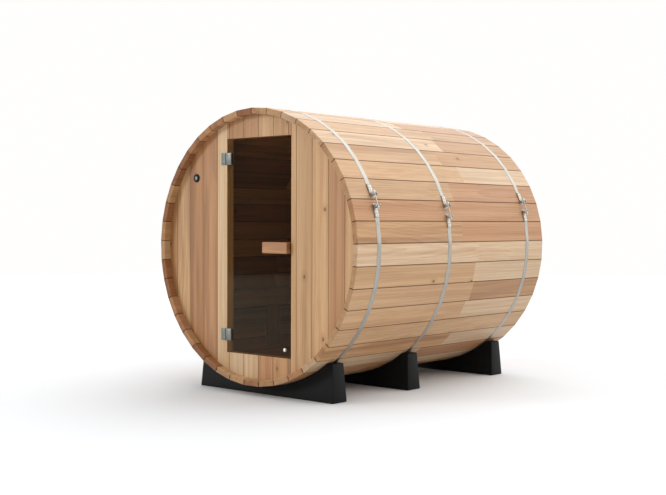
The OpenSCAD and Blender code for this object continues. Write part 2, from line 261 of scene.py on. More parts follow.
def lathe(profile, place, sides=24):
    """Solid of revolution about the third axis of a matrix. The profile holds radius and height."""
    rings = []
    for r, h in profile:
        turns = [k * math.tau / sides for k in range(sides)]
        rings.append([place @ Vector((r * math.cos(a), r * math.sin(a), h)) for a in turns])
    return loft(rings)


def clipped(outline, axis, value, keep_above):
    """Cuts a convex outline in X and Z along a line."""
    out = []
    for k, point in enumerate(outline):
        last = outline[k - 1]
        inside = [(p[axis] > value) == keep_above for p in (last, point)]
        if inside[0] != inside[1]:
            share = (value - last[axis]) / (point[axis] - last[axis])
            out.append(tuple(a + share * (b - a) for a, b in zip(last, point)))
        if inside[1]:
            out.append(point)
    return out


def axes(out, across, at):
    """Matrix that puts a shape's third axis along one direction and its first along another."""
    z = Vector(out).normalized()
    x = Vector(across).normalized()
    return Matrix.Translation(at) @ Matrix((x, z.cross(x), z)).transposed().to_4x4()


class Piece:
    """Gathers closed shapes as one mesh, with what the materials read at each vertex."""

    def __init__(self, name, materials, smooth=False):
        self.name = name
        self.materials = materials
        self.smooth = smooth
        self.luck = random.Random(name)
        self.points, self.faces, self.slots = [], [], []
        self.read = {"grain": [], "tone": [], "figure": []}

    def add(self, bm, along=(0, 0, 1), across=(1, 0, 0), tone=(1, 1, 1), figure=(0, 0),
            shift=(0, 0, 0), tilt=0.0, face=None, material=0, end_material=None):
        """Takes a shape. Its grain runs along one axis, shifted so that no two are alike.

        The face gives the middle and the half width across the grain, where the shape's own
        box does not. The half width may be a function of a point."""
        along = Vector(along).normalized()
        across = Vector(across).normalized()
        basis = np.array([along, across, along.cross(across)])
        local = np.array([v.co for v in bm.verts]) @ basis.T
        middle = (local.min(0) + local.max(0)) / 2
        half = (local[:, 1].max() - local[:, 1].min()) / 2
        if face:
            middle[1], half = face
        place = local - middle
        grain = place + np.array(shift)
        grain[:, 2] += tilt * place[:, 0]
        start = len(self.points)
        self.points += [tuple(v.co) for v in bm.verts]
        self.read["grain"] += grain.tolist()
        halves = [half(v.co) if callable(half) else half for v in bm.verts]
        self.read["tone"] += [tuple(tone) + (float(h),) for h in halves]
        self.read["figure"] += [(*figure, float(v)) for v in place[:, 1]]
        for k, v in enumerate(bm.verts):
            v.index = k
        for face in bm.faces:
            self.faces.append([start + v.index for v in face.verts])
            is_end = end_material is not None and abs(face.normal.dot(along)) > 0.8
            self.slots.append(end_material if is_end else material)
        bm.free()

    def board(self, bm, along, across, tones, face=None, lively=0.0):
        """Takes a board and gives it a tone, a place in its tree, streaks and knots by chance."""
        luck = self.luck
        tone = luck.choice(tones) if isinstance(tones, list) else tones
        shade = luck.uniform(0.94, 1.06)
        side = luck.choice((-1, 1))
        shift = (luck.uniform(0, 60), side * luck.uniform(0.01, 0.4), luck.uniform(0.03, 0.25))
        self.add(
            bm, along, across, tone=[c * shade for c in tone],
            figure=(luck.uniform(lively, 1), luck.uniform(lively, 1)), shift=shift,
            tilt=luck.uniform(-0.03, 0.03), face=face, material=0, end_material=1)

    def place(self, slot, body, *nodes):
        """Makes the object. It rides on a body and stands for the CAD nodes."""
        mesh = bpy.data.meshes.new(self.name)
        mesh.from_pydata(self.points, [], self.faces)
        mesh.polygons.foreach_set("material_index", self.slots)
        kinds = {"grain": "FLOAT_VECTOR", "tone": "FLOAT_COLOR", "figure": "FLOAT_VECTOR"}
        for name, kind in kinds.items():
            values = np.array(self.read[name], np.float32).ravel()
            attribute = mesh.attributes.new(name, kind, "POINT")
            attribute.data.foreach_set("color" if kind == "FLOAT_COLOR" else "vector", values)
        for m in self.materials:
            mesh.materials.append(m)
        if self.smooth:
            mesh.polygons.foreach_set("use_smooth", [True] * len(self.faces))
            mesh.set_sharp_from_angle(angle=math.radians(35))
        mesh.update()
        thing = bpy.data.objects.new(self.name, mesh)
        bpy.context.scene.collection.objects.link(thing)
        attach(thing, body)
        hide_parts(*nodes)
        return thing


# Face of a board that has no joint beside it: wide enough that the painted joint shade and dirt stay off its
# edges
CLEAN = (0.0, 10.0)


# ------------------------------------------------------------------ materials

def add(tree, kind, settings=None, links=None):
    """Adds a node. Settings are its properties or sockets, and links feed sockets from outputs."""
    node = tree.nodes.new(kind)
    settings = settings or {}
    for key, value in settings.items():
        if isinstance(key, str) and hasattr(node, key):
            setattr(node, key, value)
    for key, value in settings.items():
        if not (isinstance(key, str) and hasattr(node, key)):
            node.inputs[key].default_value = value
    for key, output in (links or {}).items():
        tree.links.new(output, node.inputs[key])
    return node


def new_material(name):
    """A new material with no nodes in it, and its node tree."""
    made = bpy.data.materials.new(name)
    made.use_nodes = True
    made.node_tree.nodes.clear()
    return made, made.node_tree


def finish_material(made, tree, shader):
    """Joins the last shader to the output."""
    add(tree, "ShaderNodeOutputMaterial", links={"Surface": shader.outputs[0]})
    return made


def noise(tree, vector, stretch, detail=3.0, rough=0.55, scale=1.0):
    """Noise that is stretched differently along, across and through the board."""
    scaled = add(tree, "ShaderNodeVectorMath", {"operation": "MULTIPLY", 1: stretch}, {0: vector})
    return add(
        tree, "ShaderNodeTexNoise", {"Scale": scale, "Detail": detail, "Roughness": rough},
        {"Vector": scaled.outputs[0]}).outputs[0]


def ranged(tree, value, from_min, from_max, to_min, to_max):
    """Maps a value from one range to another, and clamps it."""
    return add(tree, "ShaderNodeMapRange", {
        "From Min": from_min, "From Max": from_max, "To Min": to_min, "To Max": to_max,
    }, {"Value": value}).outputs[0]


def calc(tree, operation, a, b):
    """One sum of two values, each an output or a number."""
    links = {k: v for k, v in ((0, a), (1, b)) if not isinstance(v, float)}
    settings = {k: v for k, v in ((0, a), (1, b)) if isinstance(v, float)}
    return add(tree, "ShaderNodeMath", {"operation": operation, **settings}, links).outputs[0]


def tinted(tree, factor, base, tint, blend="MULTIPLY"):
    """Blends a colour into another by a factor. The tint is a colour or an output."""
    links = {0: factor, 6: base}
    settings = {"data_type": "RGBA", "blend_type": blend}
    if isinstance(tint, tuple):
        settings[7] = (*tint, 1.0)
    else:
        links[7] = tint
    return add(tree, "ShaderNodeMix", settings, links).outputs[2]


def cedar(name, colours, ring_mm=8.0, end_grain=False):
    """Western red cedar, planed and oiled.

    Planing leaves fine lines along the board, wide soft streaks and a few knots on a satin
    surface. Sawn ends are darker and duller, and show the rings. Real rings are 1 to 3 mm
    apart, which is too fine to show, so they are drawn 8 mm apart.
    """
    made, tree = new_material(name)
    grain = add(tree, "ShaderNodeAttribute", {"attribute_name": "grain"}).outputs["Vector"]
    board = add(tree, "ShaderNodeAttribute", {"attribute_name": "tone"}).outputs
    tone, half_width = board["Color"], board["Alpha"]
    figure = add(tree, "ShaderNodeAttribute", {"attribute_name": "figure"}).outputs["Vector"]
    figure = add(tree, "ShaderNodeSeparateXYZ", links={0: figure}).outputs

    # The tree's slow bends move the rings sideways by up to about 15 mm.
    bend = add(tree, "ShaderNodeTexNoise", {"Scale": 1.0, "Detail": 2.0}, {
        "Vector": add(tree, "ShaderNodeVectorMath", {"operation": "MULTIPLY", 1: (0.9, 5.0, 5.0)},
                      {0: grain}).outputs[0]})
    bend = add(tree, "ShaderNodeVectorMath", {"operation": "SUBTRACT", 1: (0.5, 0.5, 0.5)},
               {0: bend.outputs["Color"]}).outputs[0]
    bent = add(tree, "ShaderNodeVectorMath", {"operation": "MULTIPLY_ADD", 1: (0.0, 0.03, 0.03)},
               {0: bend, 2: grain}).outputs[0]
    # A ring texture repeats every 0.314 m at scale 1.
    rings = add(tree, "ShaderNodeTexWave", {
        "wave_type": "RINGS", "rings_direction": "X", "wave_profile": "SAW",
        "Scale": 314.0 / ring_mm, "Distortion": 1.2, "Detail": 2.0, "Detail Scale": 0.4,
    }, {"Vector": bent}).outputs["Fac"]
    broad = noise(tree, bent, (0.45, 26.0, 26.0), detail=3.0)
    slim = noise(tree, bent, (1.0, 110.0, 110.0), detail=4.0, rough=0.65)
    fine = noise(tree, grain, (2.2, 260.0, 260.0), detail=2.0, rough=0.7)
    patch = noise(tree, grain, (1.6, 5.0, 5.0), detail=2.0)

    streak = calc(tree, "MULTIPLY", ranged(tree, broad, 0.40, 0.66, 0.0, 1.0),
                  ranged(tree, figure[0], 0.0, 1.0, 0.20, 0.85))
    slim = calc(tree, "MULTIPLY", ranged(tree, slim, 0.42, 0.66, 0.0, 1.0),
                ranged(tree, figure[0], 0.0, 1.0, 0.95, 0.45))
    lines = calc(tree, "MULTIPLY", ranged(tree, rings, 0.35, 1.0, 0.0, 1.0),
                 ranged(tree, fine, 0.35, 0.65, 0.25, 0.8))
    base = tinted(tree, streak, tone, (0.72, 0.59, 0.47))
    base = tinted(tree, slim, base, (0.80, 0.71, 0.61))
    base = tinted(tree, lines, base, (0.78, 0.71, 0.64) if not end_grain else (0.50, 0.42, 0.35))
    base = tinted(tree, ranged(tree, patch, 0.35, 0.65, 0.0, 0.35), base, (1.07, 1.0, 0.93))
    # One board in five has dark heartwood running out along part of it.
    heart = noise(tree, grain, (0.8, 11.0, 11.0), detail=2.0, rough=0.4)
    heart = calc(tree, "MULTIPLY", ranged(tree, heart, 0.53, 0.60, 0.0, 0.55),
                 ranged(tree, figure[0], 0.78, 0.84, 0.0, 1.0))
    base = tinted(tree, heart, base, (0.66, 0.58, 0.54))

    # Knots are 12 to 20 mm across, about one to each third board.
    flat = add(tree, "ShaderNodeVectorMath", {"operation": "MULTIPLY", 1: (2.4, 3.6, 0.0)},
               {0: bent}).outputs[0]
    knots = add(tree, "ShaderNodeTexVoronoi", {"voronoi_dimensions": "2D", "Scale": 1.0},
                {"Vector": flat})
    chance = add(tree, "ShaderNodeSeparateColor", links={0: knots.outputs["Color"]}).outputs[0]
    chosen = ranged(tree, calc(tree, "MULTIPLY", chance, figure[1]), 0.50, 0.54, 0.0, 1.0)
    core = calc(tree, "MULTIPLY", ranged(tree, knots.outputs["Distance"], 0.016, 0.040, 0.85, 0.0),
                chosen)
    halo = calc(tree, "MULTIPLY", ranged(tree, knots.outputs["Distance"], 0.02, 0.13, 0.45, 0.0),
                chosen)
    base = tinted(tree, halo, base, (0.72, 0.55, 0.42))
    base = tinted(tree, core, base, tuple(colours.knot), "MIX")

    # The edge of a board takes up more oil and dirt than its face, and the darkening within a few millimetres
    # of its long edges is also painted shade in the joints between boards.
    edge = calc(tree, "SUBTRACT", half_width, calc(tree, "ABSOLUTE", figure[2], 0.0))
    edge = ranged(tree, edge, 0.0016, 0.0046, 0.95, 0.0)
    base = tinted(tree, edge, base, (0.26, 0.19, 0.14))
    if end_grain:
        pores = noise(tree, grain, (900.0, 900.0, 900.0), detail=1.0)
        base = tinted(tree, ranged(tree, pores, 0.4, 0.7, 0.6, 1.0), base, (0.70, 0.63, 0.56))

    height = calc(tree, "ADD", calc(tree, "MULTIPLY", lines, -0.6), fine)
    bump = add(tree, "ShaderNodeBump", {"Strength": 0.35, "Distance": 0.0004}, {"Height": height})
    rough = (0.62, 0.78) if end_grain else (0.40, 0.54)
    satin = calc(tree, "ADD", ranged(tree, fine, 0.3, 0.7, *rough), calc(tree, "MULTIPLY", edge, 0.3))
    shader = add(tree, "ShaderNodeBsdfPrincipled", {"IOR": 1.5, "Specular IOR Level": 0.5}, {
        "Base Color": base,
        "Roughness": satin,
        "Normal": bump.outputs[0],
    })
    return finish_material(made, tree, shader)


def metal(name, base, rough, brush=(1.5, 420.0, 420.0), wear=0.12):
    """Metal with a directional finish.

    Rolled and brushed stainless steel has lines along the strip that stretch its highlights,
    and faint marks from handling. Zinc plate has a fine crystal mottle instead.
    """
    made, tree = new_material(name)
    grain = add(tree, "ShaderNodeAttribute", {"attribute_name": "grain"}).outputs["Vector"]
    lines = noise(tree, grain, brush, detail=3.0, rough=0.7)
    marks = noise(tree, grain, (9.0, 30.0, 30.0), detail=4.0)
    tint = tinted(tree, ranged(tree, marks, 0.45, 0.7, 0.0, 1.0), add(
        tree, "ShaderNodeMix", {"data_type": "RGBA", 6: (*base, 1.0), 7: (*[c * 0.82 for c in base], 1.0)},
        {0: lines}).outputs[2], (0.90, 0.89, 0.86))
    roughness = calc(tree, "ADD", ranged(tree, lines, 0.3, 0.7, rough - 0.06, rough + 0.06),
                     ranged(tree, marks, 0.45, 0.75, 0.0, wear))
    bump = add(tree, "ShaderNodeBump", {"Strength": 0.25, "Distance": 0.0002}, {"Height": lines})
    shader = add(tree, "ShaderNodeBsdfPrincipled", {"Metallic": 1.0, "Anisotropic": 0.35}, {
        "Base Color": tint, "Roughness": roughness, "Normal": bump.outputs[0]})
    return finish_material(made, tree, shader)


def moulded_plastic(name, base, rough, grit_mm):
    """Rotationally moulded polyethylene.

    The mould leaves a fine matt grit, and handling leaves paler scuffs that are a little duller.
    """
    made, tree = new_material(name)
    place = add(tree, "ShaderNodeTexCoord").outputs["Object"]
    grit = noise(tree, place, (1.0, 1.0, 1.0), detail=2.0, scale=1000.0 / grit_mm)
    scuff = noise(tree, place, (14.0, 9.0, 30.0), detail=5.0, rough=0.7)
    worn = ranged(tree, scuff, 0.52, 0.75, 0.0, 1.0)
    tint = add(tree, "ShaderNodeMix", {
        "data_type": "RGBA", 6: (*base, 1.0), 7: (*[min(1.0, c * 1.8 + 0.004) for c in base], 1.0),
    }, {0: worn}).outputs[2]
    roughness = calc(tree, "ADD", ranged(tree, grit, 0.3, 0.7, rough - 0.05, rough + 0.05),
                     calc(tree, "MULTIPLY", worn, 0.1))
    bump = add(tree, "ShaderNodeBump", {"Strength": 0.4, "Distance": 0.0003}, {"Height": grit})
    shader = add(tree, "ShaderNodeBsdfPrincipled", {"IOR": 1.5, "Specular IOR Level": 0.2}, {
        "Base Color": tint, "Roughness": roughness, "Normal": bump.outputs[0]})
    return finish_material(made, tree, shader)


def bronze_glass(name, through, ior, wipe):
    """Bronze body-tinted float glass, toughened and polished.

    It darkens and warms what is behind it, mirrors the room faintly, and wiping leaves
    barely duller arcs.
    """
    made, tree = new_material(name)
    place = add(tree, "ShaderNodeTexCoord").outputs["Object"]
    arcs = noise(tree, place, (9.0, 1.0, 3.0), detail=4.0, rough=0.6)
    clear = add(tree, "ShaderNodeBsdfTransparent", {"Color": (*through, 1.0)})
    gloss = add(tree, "ShaderNodeBsdfGlossy", {"Color": (1.0, 1.0, 1.0, 1.0)},
                {"Roughness": ranged(tree, arcs, 0.4, 0.7, 0.02, wipe)})
    mirror = add(tree, "ShaderNodeFresnel", {"IOR": ior})
    shader = add(tree, "ShaderNodeMixShader", links={
        0: mirror.outputs[0], 1: clear.outputs[0], 2: gloss.outputs[0]})
    return finish_material(made, tree, shader)


def pale_floor(name, base):
    """Matt painted studio floor, with the faint unevenness of rolled paint."""
    made, tree = new_material(name)
    place = add(tree, "ShaderNodeTexCoord").outputs["Object"]
    mottle = noise(tree, place, (3.0, 3.0, 3.0), detail=3.0)
    tint = add(tree, "ShaderNodeMix", {
        "data_type": "RGBA", 6: (*base, 1.0), 7: (*[c * 0.985 for c in base], 1.0),
    }, {0: mottle}).outputs[2]
    shader = add(tree, "ShaderNodeBsdfPrincipled", {"Roughness": 0.9, "Specular IOR Level": 0.1},
                 {"Base Color": tint})
    return finish_material(made, tree, shader)


def material(name):
    """The material of a name, made when it is first asked for."""
    found = bpy.data.materials.get(name)
    if found:
        return found
    c = bpy.context.scene.sauna_colours
    makers = {
        "cedar_planed": lambda n: cedar(n, c),
        "cedar_end_grain": lambda n: cedar(n, c, ring_mm=6.0, end_grain=True),
        "stainless_brushed": lambda n: metal(n, tuple(c.steel), 0.36),
        "steel_bead_blasted": lambda n: metal(n, tuple(c.satin), 0.52, brush=(400.0, 400.0, 400.0)),
        "steel_zinc_plated": lambda n: metal(n, tuple(c.zinc), 0.3, brush=(300.0, 300.0, 300.0)),
        "copper_turned": lambda n: metal(n, tuple(c.copper), 0.4),
        "polyethylene_moulded": lambda n: moulded_plastic(n, tuple(c.plastic), 0.6, 1.6),
        "grey_plastic_moulded": lambda n: moulded_plastic(n, tuple(c.dish), 0.45, 1.2),
        "glass_bronze_polished": lambda n: bronze_glass(n, tuple(c.glass), 1.16, 0.08),
        "floor_matt_paint": lambda n: pale_floor(n, tuple(c.floor)),
    }
    return makers[name](name)


def timber_materials():
    """Face and end grain, in the order that boards use them."""
    return [material("cedar_planed"), material("cedar_end_grain")]


def tones(*names):
    """The cedar tones of those names, for a board to choose from."""
    colours = bpy.context.scene.sauna_colours
    return [tuple(getattr(colours, n)) for n in names]


# ------------------------------------------------------------------ staves

def stave_profile(barrel, sizes, inset, groove):
    """Section of a stave as distances across it and from the axis, with its bead and its cove."""
    ease = sizes.stave_ease
    half_gap = sizes.stave_gap / 2
    outer, inner = barrel.outer - inset, barrel.inner + inset + groove
    middle, reach, rise = (barrel.outer + barrel.inner) / 2, 0.0125, sizes.bead
    bend = (reach * reach + rise * rise) / (2 * rise)

    def side(r, way):
        """Place of an edge of the stave at a distance from the axis."""
        bulge = 0.0
        if abs(r - middle) < reach:
            bulge = math.sqrt(bend * bend - (r - middle) ** 2) - (bend - rise)
        return way * (r * math.tan(barrel.step / 2) - half_gap - inset) + bulge

    bead = [middle + reach * math.cos(k * math.pi / 8) for k in range(9)]
    heights = [max(h, inner + ease) for h in [outer - ease, *bead, inner + ease]]

    def corner(r, way, turn):
        """Two points that round off a corner at the outer or the inner face."""
        edge = side(r - turn * ease, way)
        return [(edge - way * ease, r), (edge - way * 0.3 * ease, r - turn * 0.3 * ease)]

    right = [(side(h, 1), h) for h in heights]
    left = [(side(h, -1), h) for h in reversed(heights)]
    return (corner(outer, 1, 1) + right + corner(inner, 1, -1)[::-1]
            + corner(inner, -1, -1) + left + corner(outer, -1, 1)[::-1])


def stave_board(barrel, sizes, i, start, end, end_ease, grooves):
    """One board of a stave, from one place along the barrel to another."""
    out, across = barrel.stave_axes(i)
    axis = Vector((0, 0, barrel.axis_z))

    def ring(y, inset=0.0, groove=0.0):
        """The stave's section at one place along it."""
        return [axis + Vector((0, y, 0)) + out * r + across * t
                for t, r in stave_profile(barrel, sizes, inset, groove)]

    rings = [ring(start, inset=end_ease[0]), ring(start + end_ease[0])]
    for low, high in grooves:
        if start < low and high < end:
            rings += [ring(low), ring(low, groove=sizes.groove),
                      ring(high, groove=sizes.groove), ring(high)]
    rings += [ring(end - end_ease[1]), ring(end, inset=end_ease[1])]
    return loft(rings), across


class SAUNA_OT_staves(bpy.types.Operator):
    """Make the staves of the barrel, each with a bead on one edge and a cove on the other"""
    bl_idname = "sauna.staves"
    bl_label = "Staves"

    def execute(self, context):
        sizes = context.scene.sauna_sizes
        barrel = Barrel(sizes)
        fit = sizes.stave_gap
        grooves = []
        for node in ("front_wall_left", "rear_wall"):
            low, high = box(node)
            grooves.append((low.y - fit, high.y + fit))
        common = tones("straw", "straw", "tan", "tan", "honey", "rose", "brown")
        # The staves on the left take these darker tones, russet twice: painted shade for that side, whose
        # inner faces at the overhang stand in shade.
        painted_shade_tones = tones("tan", "russet_painted_shade", "honey", "brown", "russet_painted_shade", "rose")
        for node, staves in barrel.runs().items():
            piece = Piece(f"timber_{node}", timber_materials())
            for i in staves:
                joint = None
                if piece.luck.random() < sizes.spliced:
                    joint = piece.luck.choice((sizes.short_board, sizes.long_board))
                    joint += piece.luck.uniform(-0.03, 0.03)
                rim, butt = sizes.stave_ease, sizes.butt_gap
                cuts = [(barrel.front, barrel.rear, (rim, rim))]
                if joint is not None:
                    at = barrel.front + joint
                    cuts = [(barrel.front, at - butt / 2, (rim, butt)),
                            (at + butt / 2, barrel.rear, (butt, rim))]
                for start, end, end_ease in cuts:
                    bm, across = stave_board(barrel, sizes, i, start, end, end_ease, grooves)
                    # Painted shade: a stave on the left (i below 0) takes the darker tones.
                    tone = painted_shade_tones if i < 0 else common
                    face = (across.z * barrel.axis_z, barrel.half_width(i))
                    piece.board(bm, (0, 1, 0), across, tone, face)
            piece.place("stave_cedar", "shell", node)
        return {"FINISHED"}


# ------------------------------------------------------------------ end walls and casings

class SAUNA_OT_walls(bpy.types.Operator):
    """Make the end walls of upright boards, eased at their edges and set out at the cover of tongue and
    groove boards
    """
    bl_idname = "sauna.walls"
    bl_label = "End walls"

    def execute(self, context):
        sizes = context.scene.sauna_sizes
        barrel = Barrel(sizes)
        disc = barrel.section(barrel.inner + sizes.groove - sizes.stave_gap)
        # The end walls are of heartwood, a little darker and redder than the staves.
        heart = (0.92, 0.90, 0.82)
        common = [tuple(c * h for c, h in zip(tone, heart))
                  for tone in tones("straw", "tan", "honey", "rose", "brown")]
        seam = 0.00015
        joint_edge = 0.0015
        clean = 0.05
        for node in ("front_wall_left", "front_wall_right", "front_wall_head", "front_wall_sill",
                     "rear_wall"):
            low, high = box(node)
            # A joint to set the boards out from: beside the doorway's ripped strip, or in the middle
            joint = (low.x + high.x) / 2
            if node == "front_wall_left":
                joint = high.x - sizes.strip_left
            if node == "front_wall_right":
                joint = low.x + sizes.strip_right
            part = disc
            for axis, value, keep_above in (
                    (0, low.x, True), (0, high.x, False), (1, low.z, True), (1, high.z, False)):
                part = clipped(part, axis, value, keep_above)
            piece = Piece(f"timber_{node}", timber_materials())
            first = joint + math.floor((low.x - joint) / sizes.board_cover) * sizes.board_cover
            edges = [low.x - seam]
            while first < high.x - 0.004:
                if first > low.x + 0.004:
                    edges.append(first)
                first += sizes.board_cover
            edges.append(high.x + seam)
            for k, (left, right) in enumerate(zip(edges, edges[1:])):
                outline = clipped(clipped(part, 0, left + seam, True), 0, right - seam, False)
                if len(outline) < 3:
                    raise RuntimeError(f"{node} has an empty board at {left:.3f}")
                bm = prism([(x, low.y, z) for x, z in outline], (0, high.y - low.y, 0))
                # The side that faces the doorway is planed clean, without the dirt and painted shade of a
                # joint.
                first_right = k == 0 and node == "front_wall_right"
                last_left = right == edges[-1] and node == "front_wall_left"
                face_left = left - (clean if first_right else joint_edge)
                face_right = right + (clean if last_left else joint_edge)
                face = ((face_left + face_right) / 2, (face_right - face_left) / 2)
                piece.board(eased(bm, sizes.board_ease), (0, 0, 1), (1, 0, 0), common, face, lively=0.55)
            piece.place("wall_cedar", "shell", node)
        return {"FINISHED"}


class SAUNA_OT_casings(bpy.types.Operator):
    """Make the casing boards round the doorway"""
    bl_idname = "sauna.casings"
    bl_label = "Door casings"

    def execute(self, context):
        sizes = context.scene.sauna_sizes
        for side in ("left", "right", "head", "sill"):
            node = f"door_casing_{side}"
            low, high = box(node)
            upright = side in ("left", "right")
            along, across = ((0, 0, 1), (1, 0, 0)) if upright else ((1, 0, 0), (0, 0, 1))
            piece = Piece(f"timber_{node}", timber_materials())
            piece.board(eased(slab(low, high), sizes.timber_ease), along, across,
                        tones("tan", "straw"), CLEAN)
            piece.place("casing_cedar", "shell", node)
        return {"FINISHED"}


class SAUNA_OT_benches(bpy.types.Operator):
    """Make the benches along both sides"""
    bl_idname = "sauna.benches"
    bl_label = "Benches"

    slat_count: IntProperty(name="Slats", description="Number of seat slats", default=3, min=1)
    slat_gap: FloatProperty(
        name="Slat gap", description="Gap between two slats", default=0.010, unit="LENGTH")

    def execute(self, context):
        sizes = context.scene.sauna_sizes
        # The bench timbers take 0.44 of the cedar tones: painted shade, for the benches inside the barrel
        # where little light reaches.
        wood = [tuple(c * 0.44 for c in t) for t in tones("brown", "honey")]
        for side in ("left", "right"):
            node = f"bench_{side}_seat"
            low, high = box(node)
            piece = Piece(f"timber_{node}", timber_materials())
            width = (high.x - low.x - (self.slat_count - 1) * self.slat_gap) / self.slat_count
            for k in range(self.slat_count):
                x = low.x + k * (width + self.slat_gap)
                bm = slab((x, low.y, low.z), (x + width, high.y, high.z))
                piece.board(eased(bm, sizes.timber_ease), (0, 1, 0), (1, 0, 0), wood, CLEAN)
            piece.place("bench_cedar", "shell", node)
            node = f"bench_{side}_fascia"
            piece = Piece(f"timber_{node}", timber_materials())
            piece.board(eased(slab(*box(node)), sizes.timber_ease), (0, 1, 0), (0, 0, 1), wood, CLEAN)
            piece.place("bench_cedar", "shell", node)
            for part, along, across in (("posts", (0, 0, 1), (0, 1, 0)),
                                        ("bearers", (1, 0, 0), (0, 0, 1))):
                node = f"bench_{side}_{part}"
                piece = Piece(f"timber_{node}", timber_materials())
                for bm in solids_of(node):
                    piece.board(eased(bm, sizes.timber_ease / 2), along, across, wood, CLEAN)
                piece.place("bench_cedar", "shell", node)
        return {"FINISHED"}


def solids_of(node, flat=math.radians(1.0)):
    """The separate solids of a CAD node, each with its flat faces made whole again."""
    whole = bmesh.new()
    whole.from_mesh(frame["nodes"][node].data)
    bmesh.ops.remove_doubles(whole, verts=whole.verts, dist=1e-5)
    bmesh.ops.dissolve_limit(whole, angle_limit=flat, verts=whole.verts, edges=whole.edges)
    found = []
    left = set(whole.verts)
    while left:
        group, reach = set(), [min(left, key=lambda v: v.index)]
        while reach:
            v = reach.pop()
            if v not in group:
                group.add(v)
                reach += [e.other_vert(v) for e in v.link_edges]
        left -= group
        bm = bmesh.new()
        twin = {v: bm.verts.new(v.co) for v in sorted(group, key=lambda v: v.index)}
        for face in whole.faces:
            if face.verts[0] in group:
                bm.faces.new([twin[v] for v in face.verts])
        bmesh.ops.recalc_face_normals(bm, faces=bm.faces)
        found.append(bm)
    whole.free()
    return found


def sharp_edges(bm, limit):
    """Edges where two faces meet at more than an angle."""
    return [e for e in bm.edges if len(e.link_faces) == 2 and e.calc_face_angle(0) > limit]


# ------------------------------------------------------------------ door

class SAUNA_OT_door(bpy.types.Operator):
    """Make the bronze glass leaf, with polished edges, hinge notches and the hole for its catch"""
    bl_idname = "sauna.door"
    bl_label = "Glass door"

    arris: FloatProperty(
        name="Arris", description="Polished arris of the glass", default=0.001, unit="LENGTH")

    def execute(self, context):
        piece = Piece("door_glass_leaf", [material("glass_bronze_polished")])
        for bm in solids_of("door_glass"):
            bmesh.ops.bevel(bm, geom=sharp_edges(bm, math.radians(40)), offset=self.arris,
                            segments=1, affect="EDGES", clamp_overlap=True)
            piece.add(bm)
        piece.place("door_glass", "door", "door_glass")
        return {"FINISHED"}


class SAUNA_OT_handles(bpy.types.Operator):
    """Make the two cedar handle blocks"""
    bl_idname = "sauna.handles"
    bl_label = "Door handles"

    def execute(self, context):
        sizes = context.scene.sauna_sizes
        for side in ("outer", "inner"):
            node = f"door_handle_{side}"
            low, high = box(node)
            piece = Piece(f"timber_{node}", timber_materials())
            bm = eased(slab(low, high), sizes.handle_ease, segments=3)
            wood = [tuple(c * k for c, k in zip(tones("rose")[0], (0.84, 0.80, 0.74)))]
            piece.board(bm, (1, 0, 0), (0, 0, 1), wood, CLEAN, lively=0.7)
            piece.place("handle_cedar", "door", node)
        return {"FINISHED"}


def dome(radius, height, place, sides=24):
    """Turned button with a rounded rim and a slightly domed face."""
    profile = [(0.0, 0.0), (radius, 0.0), (radius, height * 0.55), (radius * 0.95, height * 0.82),
               (radius * 0.82, height * 0.95), (radius * 0.4, height), (0.0, height)]
    return lathe(profile, place, sides)


def socket_screw(radius, height, place):
    """Pan head screw with a six-sided socket."""
    depth = height * 0.6
    profile = [(0.0, 0.0), (radius, 0.0), (radius, height * 0.5), (radius * 0.85, height * 0.85),
               (radius * 0.55, height), (radius * 0.45, height), (radius * 0.42, height - depth),
               (0.0, height - depth)]
    return lathe(profile, place, 18)


class SAUNA_OT_catch(bpy.types.Operator):
    """Make the catch buttons near the foot of the glass"""
    bl_idname = "sauna.catch"
    bl_label = "Door catch"

    def execute(self, context):
        low, high = box("door_catch")
        glass_low, glass_high = box("door_glass")
        centre = (low + high) / 2
        radius = (high.z - low.z) / 2
        piece = Piece("turned_door_catch", [material("steel_zinc_plated")], smooth=True)
        front = axes((0, -1, 0), (1, 0, 0), (centre.x, glass_low.y, centre.z))
        back = axes((0, 1, 0), (1, 0, 0), (centre.x, glass_high.y, centre.z))
        piece.add(dome(radius, glass_low.y - low.y, front))
        piece.add(dome(radius, high.y - glass_high.y, back))
        stud = radius * 0.45
        piece.add(lathe([(0, 0), (stud, 0), (stud, glass_high.y - glass_low.y),
                         (0, glass_high.y - glass_low.y)], axes((0, 1, 0), (1, 0, 0),
                                                               (centre.x, glass_low.y, centre.z))))
        piece.place("hinge_steel", "door", "door_catch")
        return {"FINISHED"}


